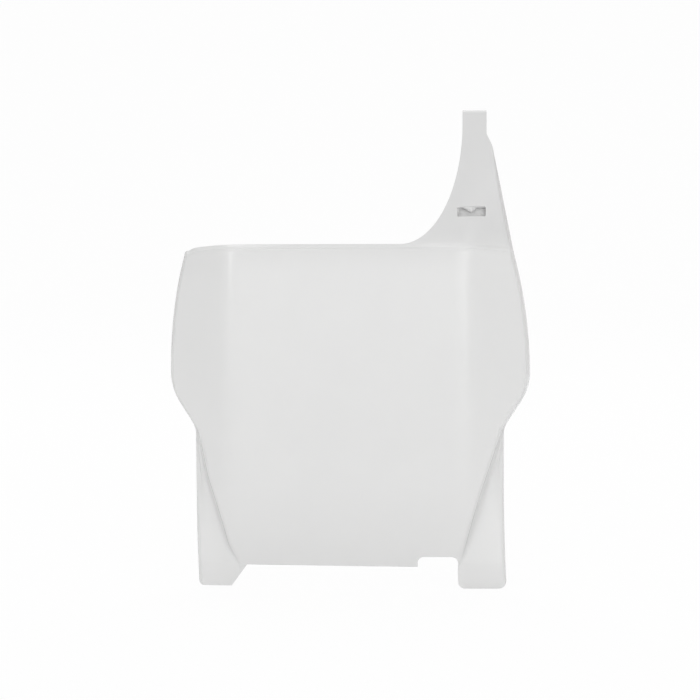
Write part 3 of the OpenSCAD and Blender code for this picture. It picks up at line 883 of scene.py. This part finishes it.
def close_rings(made, rings):
    """Closes rings of as many points each into one solid and gives its faces."""
    n = len(rings[0])
    faces = [made.faces.new(rings[0]), made.faces.new(rings[-1][::-1])]
    for low, high in zip(rings, rings[1:]):
        for i in range(n):
            faces.append(made.faces.new((low[(i + 1) % n], low[i], high[i], high[(i + 1) % n])))
    return faces


def prism(made, outline, back, front, place=None):
    """Adds a closed prism over an outline; back and front are each a depth with a scale across and a scale
    up.
    """
    rings = []
    for depth, scale_x, scale_z in (back, front):
        ring = []
        for x, z in outline:
            p = Vector((x * scale_x, depth, z * scale_z))
            ring.append(made.verts.new((place @ p if place else p) * MM))
        rings.append(ring)
    bmesh.ops.recalc_face_normals(made, faces=close_rings(made, rings))


def gap_outline(board, legs):
    """The outline below the board: gap between the legs, hose notch and rounded ends of the legs."""
    half = legs["span"] / 2
    low = legs["gap_up"] - board["bottom_h"]
    right_in = half - legs["right_w"]
    left_in = legs["left_w"] - half
    notch_in = right_in - legs["notch_w"]
    slant = board["edge_slant"]
    top = low - slant + legs["notch_h"]
    nr, lr, rr = legs["notch_r"], legs["left_r"], legs["right_r"]
    left_end = -legs["left_h"]
    right_end = left_end - legs["step"]
    # The cut takes in all of the sheet beside and below the legs
    out, below = half + 14, low - 60
    lean = leg_lean(legs, left_end + lr)
    points = [(-out, below), (-out, left_end + lr)]
    points += arc(lean - half + lr, left_end + lr, lr, 180, 270)
    gap_in = legs["gap_start"] - board["bottom_w"] / 2
    run = (notch_in - gap_in) / (right_in - gap_in)
    points += [(left_in, left_end), (gap_in, low + slant), (notch_in, mix(low + slant, low - slant, run))]
    points += arc(notch_in + nr, top - nr, nr, 180, 90) + arc(right_in - nr, top - nr, nr, 90, 0)
    points += arc(right_in + rr, right_end + rr, rr, 180, 270)
    points += arc(half + lean - rr, right_end + rr, rr, 270, 360)
    points += [(out, right_end + rr), (out, below)]
    return points


def slot_place(sheet, strap):
    """Places what follows along the front face of the arm, at the middle of the slot."""
    x, z = strap["slot_x"], strap["slot_z"]
    half = strap["slot_w"] / 2
    follow = Matrix.Identity(4)
    follow[1][0] = (sheet.face_depth(x + half) - sheet.face_depth(x - half)) / (2 * half)
    y = sheet.face_depth(x) + sheet.arm_back(z) + sheet.root_fillet(x, z)
    turn = Matrix.Rotation(math.radians(-strap["arm_lean"]), 4, "X")
    return Matrix.Translation((x, y, sheet.b["top_h"] + z)) @ follow @ turn


def openings_mesh(sheet, board, legs, strap):
    """Closed prisms that cut the gap, the notch, the ends of the legs and the slot of the strap."""
    made = bmesh.new()
    # Depth to which the cut below the board goes, in front and behind
    through = 60
    prism(made, gap_outline(board, legs), (through, 1, 1), (-through, 1, 1))
    w, h, r = strap["slot_w"] / 2, strap["slot_h"] / 2, strap["slot_r"]
    outline = []
    for x, z, first in ((w - r, h - r, 0), (r - w, h - r, 90), (r - w, r - h, 180), (w - r, r - h, 270)):
        outline += arc(x, z, r, first, first + 90, 6)
    # The cut runs past both faces of the wall, by this share of it
    over = 0.5
    draft, wall = strap["slot_draft"], board["wall"]
    behind = (1 + over) * draft
    before = over * draft
    prism(
        made,
        outline,
        ((1 + over) * wall, (w - behind) / w, (h - behind) / h),
        (-over * wall, (w + before) / w, (h + before) / h),
        slot_place(sheet, strap),
    )
    return as_mesh(made, "Openings")


def tooth_mesh(sheet, board, strap):
    """The tooth at the top of the slot, larger towards the back, with a rounded tip."""
    made = bmesh.new()
    # Height of its root inside the wall, radius of its tip, and its size at shares of the wall's depth
    root_h, tip = 1.2, 0.6
    growth = ((0.6, 0.4), (0.9, 0.7), (1.0, 1.0))
    place = slot_place(sheet, strap)
    rings = []
    for part, share_in in growth:
        depth = share_in * board["wall"]
        left, right = part * strap["tooth_left"], part * strap["tooth_right"]
        down = root_h + part * strap["tooth_h"]
        # Hollow flanks run from the root down to the tip
        outline = [(-left, 0), (-left, -0.9 * root_h), (-0.45 * left, -0.62 * down)]
        outline += arc(0, tip - down, tip, 215, 325, 6)
        outline += [(0.6 * right, -0.62 * down), (right, -0.9 * root_h), (right, 0)]
        top = strap["slot_h"] / 2 + root_h
        rings.append([made.verts.new((place @ Vector((x, depth, top + z))) * MM) for x, z in outline])
    bmesh.ops.recalc_face_normals(made, faces=close_rings(made, rings))
    return as_mesh(made, "Tooth")


def round_rim(mesh, radius):
    """Rounds the cut edges of the wall, as the parting edges of a mould are."""
    made = bmesh.new()
    made.from_mesh(mesh)
    bmesh.ops.remove_doubles(made, verts=made.verts, dist=SAME_CUT)
    bmesh.ops.dissolve_degenerate(made, edges=made.edges, dist=SAME_CUT / 2)
    cut = math.radians(CUT_ANGLE)
    sharp = [e for e in made.edges if len(e.link_faces) == 2 and e.calc_face_angle() > cut]
    bmesh.ops.bevel(
        made,
        geom=sharp,
        offset=radius,
        offset_type="OFFSET",
        segments=3,
        profile=0.5,
        affect="EDGES",
        clamp_overlap=True,
        harden_normals=False,
    )
    made.to_mesh(mesh)
    made.free()


def white_plastic(look):
    """Glossy white polypropylene: faint clouds of colour, shrinkage waves, a very fine mould grain, and
    painted shade that darkens the arm.
    """
    material = bpy.data.materials.new("White plastic")
    t = blank_tree(material)
    place = t.add("ShaderNodeTexCoord").outputs["Object"]

    def noise(label, scale, detail, roughness=0.5):
        inputs = {"Vector": place, "Scale": scale, "Detail": detail, "Roughness": roughness}
        return t.add("ShaderNodeTexNoise", label, inputs).outputs["Fac"]

    def bump(label, height, depth, more=()):
        inputs = {"Height": height, "Distance": depth, "Strength": 1.0, **dict(more)}
        return t.add("ShaderNodeBump", label, inputs).outputs["Normal"]

    def colour_mix(label, a, b, factor):
        inputs = {"A": a, "B": b, "Factor": factor}
        return t.add("ShaderNodeMix", label, inputs, data_type="RGBA").outputs["Result"]

    clouds = noise("Clouds in the melt", 1.0 / look.cloud_size, 3.0, 0.55)
    tint = colour_mix("Colour", (*look.tint, 1.0), (*look.shade, 1.0), clouds)
    # Painted shade: the colour turns darker up the arm, between these two heights
    level = t.add("ShaderNodeSeparateXYZ", "Height in the board", {"Vector": place}).outputs["Z"]
    inputs = {"Value": level, "From Min": look.arm_shade_from, "From Max": look.arm_shade_to}
    arm_shade_ramp = t.add("ShaderNodeMapRange", "Painted shade up the arm", inputs, interpolation_type="SMOOTHSTEP")
    tint = colour_mix("Arm darkened by painted shade", tint, (*look.arm_painted_shade, 1.0), arm_shade_ramp.outputs["Result"])

    polish = noise("Uneven polish", 1.7 / look.cloud_size, 5.0)
    inputs = {"Value": polish, "From Min": 0.3, "From Max": 0.7}
    inputs.update({"To Min": look.roughness * 0.85, "To Max": look.roughness * 1.2})
    rough = t.add("ShaderNodeMapRange", "Roughness", inputs).outputs["Result"]

    wave = bump("Waves", noise("Shrinkage waves", 1.0 / look.ripple_size, 1.5), look.ripple_depth)
    grain = noise("Mould grain", 1.0 / look.grain_size, 2.0)
    relief = bump("Grain", grain, look.grain_depth, {"Normal": wave})
    inputs = {"Base Color": tint, "Roughness": rough, "Normal": relief, "IOR": 1.49}
    shader = t.add("ShaderNodeBsdfPrincipled", "Polypropylene", inputs)
    t.add("ShaderNodeOutputMaterial", "", {"Surface": shader.outputs["BSDF"]})
    return material


class NUMBERBOARD_OT_board(bpy.types.Operator):
    """Makes the moulded board: panel, wings, flange, legs, arm, folded strap, slot and tooth"""

    bl_idname = "number_board.board"
    bl_label = "Moulded board"

    def execute(self, context):
        scene = context.scene
        board = sizes(scene.board_sizes)
        legs = sizes(scene.leg_sizes)
        strap = sizes(scene.strap_sizes)
        sheet = BoardSheet(board, legs, strap)
        body = add_object("board_sheet", sheet.mesh("Board sheet"))
        openings = add_object("board_openings", openings_mesh(sheet, board, legs, strap))
        tooth = add_object("board_tooth", tooth_mesh(sheet, board, strap))
        plastic = white_plastic(scene.plastic_look)

        tree = moulded_wall_tree()
        wall = body.modifiers.new("Moulded wall", "NODES")
        wall.node_group = tree
        given = {"Wall": scene.board_sizes.wall, "Openings": openings, "Tooth": tooth, "Plastic": plastic}
        for item in tree.interface.items_tree:
            if item.name in given:
                wall[item.identifier] = given[item.name]
        context.view_layer.update()
        made = bpy.data.meshes.new_from_object(body.evaluated_get(context.evaluated_depsgraph_get()))
        if not made.polygons:
            raise RuntimeError("the node tree of the board gave no faces")
        made.name = "Number board"
        round_rim(made, scene.board_sizes.rim_round)
        made.shade_smooth()
        made.set_sharp_from_angle(angle=math.radians(CREASE_ANGLE))
        made.materials.clear()
        made.materials.append(plastic)
        for helper in (body, openings, tooth):
            bpy.data.objects.remove(helper)
        piece = add_object("moulded_board", made)
        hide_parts("number_board")
        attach(piece, "root")
        return {"FINISHED"}


def area_light(name, place, size, power):
    """A soft box that looks at the board."""
    lamp = bpy.data.lights.new(name, "AREA")
    lamp.shape = "RECTANGLE"
    lamp.size, lamp.size_y = size
    lamp.energy = power
    turn = (Vector(LIGHT_AIM) - Vector(place)).to_track_quat("-Z", "Y")
    add_object(name, lamp).matrix_world = Matrix.Translation(place) @ turn.to_matrix().to_4x4()


class NUMBERBOARD_OT_studio(bpy.types.Operator):
    """Makes the pale floor, the soft light and the camera"""

    bl_idname = "number_board.studio"
    bl_label = "Studio"

    def execute(self, context):
        scene = context.scene
        look = scene.studio_look
        self.floor(look, CAD_LOW[2] - look.floor_gap)
        self.room(scene, look)
        self.lights()
        self.camera(scene, look)
        scene.view_settings.view_transform = "Standard"
        scene.view_settings.look = "None"
        return {"FINISHED"}

    def floor(self, look, low):
        """A sweep: level floor that rises into a wall far behind."""
        made = bmesh.new()
        profile = [(-SWEEP_REACH, low), (SWEEP_BEND, low)]
        for a in range(6, 91, 6):
            profile.append((SWEEP_BEND + SWEEP_RADIUS * sin(a), low + SWEEP_RADIUS * (1 - cos(a))))
        profile.append((SWEEP_BEND + SWEEP_RADIUS, low + SWEEP_HEIGHT))
        rails = [[made.verts.new((x, y, z)) for y, z in profile] for x in (-SWEEP_REACH, SWEEP_REACH)]
        for i in range(len(profile) - 1):
            made.faces.new((rails[0][i], rails[1][i], rails[1][i + 1], rails[0][i + 1]))
        mesh = as_mesh(made, "Sweep")
        mesh.shade_smooth()
        paper = bpy.data.materials.new("White paper")
        t = blank_tree(paper)
        dull = t.add("ShaderNodeBsdfDiffuse", "", {"Color": (*look.floor_tint, 1.0)})
        glow = t.add("ShaderNodeEmission", "", {"Strength": 1.0})
        blend = seen_by_camera(t, dull.outputs["BSDF"], glow.outputs["Emission"], PAPER_GLOW)
        t.add("ShaderNodeOutputMaterial", "", {"Surface": blend})
        mesh.materials.append(paper)
        sweep = add_object("studio_sweep", mesh)

    def room(self, scene, look):
        """Even light of the room with soft panels in it; the camera sees plain white behind the board."""
        world = bpy.data.worlds.new("Room")
        t = blank_tree(world)
        where = t.add("ShaderNodeTexCoord").outputs["Generated"]
        total = t.math("ADD", look.world_light, 0.0)
        for name, azimuth, elevation, sharpness, strength in PANELS:
            facing = (cos(elevation) * sin(azimuth), -cos(elevation) * cos(azimuth), sin(elevation))
            near = t.add("ShaderNodeVectorMath", name, {0: where, 1: facing}, operation="DOT_PRODUCT")
            soft = t.math("POWER", t.math("MAXIMUM", near.outputs["Value"], 0.0), sharpness)
            total = t.math("ADD", total, t.math("MULTIPLY", soft, strength))
        light = t.add("ShaderNodeBackground", "Light of the room", {"Strength": total})
        white = t.add("ShaderNodeBackground", "White seen by the camera", {"Strength": 1.0})
        blend = seen_by_camera(t, light.outputs["Background"], white.outputs["Background"], 1.0)
        t.add("ShaderNodeOutputWorld", "", {"Surface": blend})
        scene.world = world

    def lights(self):
        """Upright strips that draw the bends, soft boxes that light the flange, and a low one in front."""
        away, level = STRIP_PLACE
        for degrees, power in STRIPS:
            place = (away * sin(degrees), -away * cos(degrees), level)
            area_light("light_strip%+d" % degrees, place, STRIP_SIZE, power)
        for box in BOXES:
            area_light(*box)

    def camera(self, scene, look):
        """A camera that looks along the direction of the photograph."""
        lens = bpy.data.cameras.new("Camera")
        lens.sensor_fit = "HORIZONTAL"
        lens.sensor_width = SENSOR
        lens.lens = SENSOR * look.distance / look.frame_w
        lens.clip_start = 0.05
        lens.clip_end = 40.0
        eye = add_object("camera", lens)
        target = Vector((look.centre_x, 0.0, look.centre_z))
        side = math.cos(look.elevation) * math.sin(look.azimuth)
        front = math.cos(look.elevation) * math.cos(look.azimuth)
        place = target + look.distance * Vector((side, -front, math.sin(look.elevation)))
        turn = (target - place).to_track_quat("-Z", "Y").to_matrix().to_4x4()
        eye.matrix_world = Matrix.Translation(place) @ turn @ Matrix.Rotation(look.roll, 4, "Z")
        scene.camera = eye


class NUMBERBOARD_PT_panel(bpy.types.Panel):
    """Lists the pieces of the number board"""

    bl_idname = "NUMBERBOARD_PT_panel"
    bl_label = "Number board"
    bl_space_type = "VIEW_3D"
    bl_region_type = "UI"
    bl_category = "Number board"

    def draw(self, context):
        for operator in (NUMBERBOARD_OT_board, NUMBERBOARD_OT_studio):
            self.layout.operator(operator.bl_idname, text=operator.bl_label)


GROUPS = {
    "board_sizes": BoardSizes,
    "leg_sizes": LegSizes,
    "strap_sizes": StrapSizes,
    "plastic_look": PlasticLook,
    "studio_look": StudioLook,
}
CLASSES = (*GROUPS.values(), NUMBERBOARD_OT_board, NUMBERBOARD_OT_studio, NUMBERBOARD_PT_panel)


def register():
    for cls in CLASSES:
        bpy.utils.register_class(cls)
    for name, group in GROUPS.items():
        setattr(bpy.types.Scene, name, bpy.props.PointerProperty(type=group))


def unregister():
    for name in GROUPS:
        delattr(bpy.types.Scene, name)
    for cls in reversed(CLASSES):
        bpy.utils.unregister_class(cls)


def main():
    register()
    bpy.ops.number_board.board()
    bpy.ops.number_board.studio()


if __name__ == "__main__":
    main()
